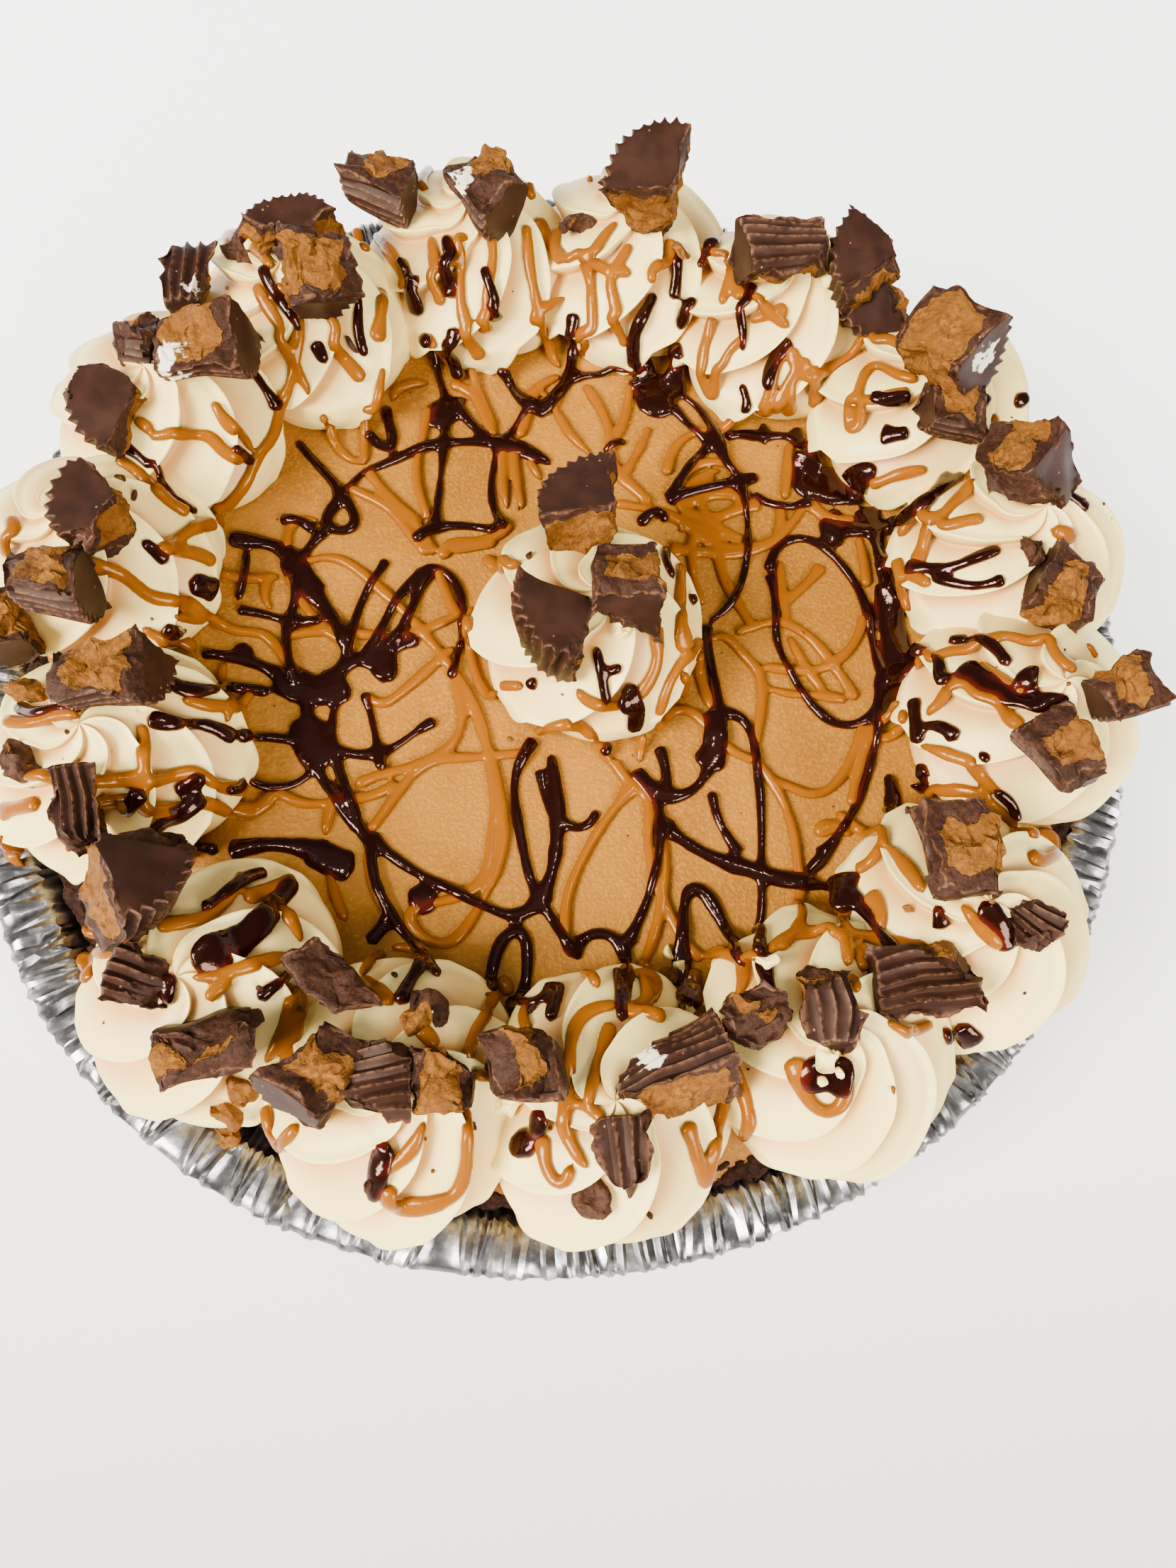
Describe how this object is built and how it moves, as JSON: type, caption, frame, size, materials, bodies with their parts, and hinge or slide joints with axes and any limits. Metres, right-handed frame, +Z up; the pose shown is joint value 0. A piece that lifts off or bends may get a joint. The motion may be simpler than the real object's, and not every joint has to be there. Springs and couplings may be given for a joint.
{
  "type": "peanut butter pie",
  "caption": "Round peanut butter cream pie in a pleated foil pan, with a chocolate crumb crust, drizzle, whipped cream rosettes and broken peanut butter cups on top.",
  "frame": {"origin": "centre of the pan's underside, on the surface that the pie stands on", "axes": "+Z up along the pan's axis; +Y away from the viewer of the picture, +X to the viewer's right"},
  "size_m": [0.2442, 0.2442, 0.0773],
  "materials": {
    "foil": "shiny crinkled foil",
    "cookie_crumb": "dark crumbly chocolate cookie",
    "peanut_butter_filling": "soft satin, slightly granular",
    "whipped_cream": "soft satin cream",
    "peanut_butter_cup": "satin milk chocolate with crumbly peanut butter cuts"
  },
  "bodies": {
    "root": {"crust": "cookie_crumb", "filling": "peanut_butter_filling", "foil_pan": "foil", "piece_east_block": "peanut_butter_cup", "piece_east_frame": "peanut_butter_cup", "piece_east_shard": "peanut_butter_cup", "piece_east_square": "peanut_butter_cup", "piece_middle_back": "peanut_butter_cup", "piece_middle_front": "peanut_butter_cup", "piece_middle_left": "peanut_butter_cup", "piece_north_fluted": "peanut_butter_cup", "piece_north_low": "peanut_butter_cup", "piece_north_peak": "peanut_butter_cup", "piece_north_plate": "peanut_butter_cup", "piece_north_small": "peanut_butter_cup", "piece_north_wedge": "peanut_butter_cup", "piece_northeast_long": "peanut_butter_cup", "piece_northeast_small": "peanut_butter_cup", "piece_northeast_wedge": "peanut_butter_cup", "piece_northwest_crumbly": "peanut_butter_cup", "piece_northwest_dome": "peanut_butter_cup", "piece_south_column": "peanut_butter_cup", "piece_south_crumb": "peanut_butter_cup", "piece_south_fan": "peanut_butter_cup", "piece_south_hollow": "peanut_butter_cup", "piece_south_large": "peanut_butter_cup", "piece_south_oval": "peanut_butter_cup", "piece_south_stick": "peanut_butter_cup", "piece_south_triangle": "peanut_butter_cup", "piece_south_upright": "peanut_butter_cup", "piece_southeast_fan": "peanut_butter_cup", "piece_southeast_rough": "peanut_butter_cup", "piece_southwest_large": "peanut_butter_cup", "piece_southwest_mixed": "peanut_butter_cup", "piece_southwest_rough": "peanut_butter_cup", "piece_southwest_upright": "peanut_butter_cup", "piece_west_block": "peanut_butter_cup", "piece_west_crumb": "peanut_butter_cup", "piece_west_fluted": "peanut_butter_cup", "piece_west_outer": "peanut_butter_cup", "piece_west_slab": "peanut_butter_cup", "piece_west_smooth": "peanut_butter_cup", "piece_west_square": "peanut_butter_cup", "piece_west_step": "peanut_butter_cup", "rosette_01": "whipped_cream", "rosette_02": "whipped_cream", "rosette_03": "whipped_cream", "rosette_04": "whipped_cream", "rosette_05": "whipped_cream", "rosette_06": "whipped_cream", "rosette_07": "whipped_cream", "rosette_08": "whipped_cream", "rosette_09": "whipped_cream", "rosette_10": "whipped_cream", "rosette_11": "whipped_cream", "rosette_12": "whipped_cream", "rosette_13": "whipped_cream", "rosette_14": "whipped_cream", "rosette_15": "whipped_cream", "rosette_middle": "whipped_cream"}
  },
  "joints": []
}
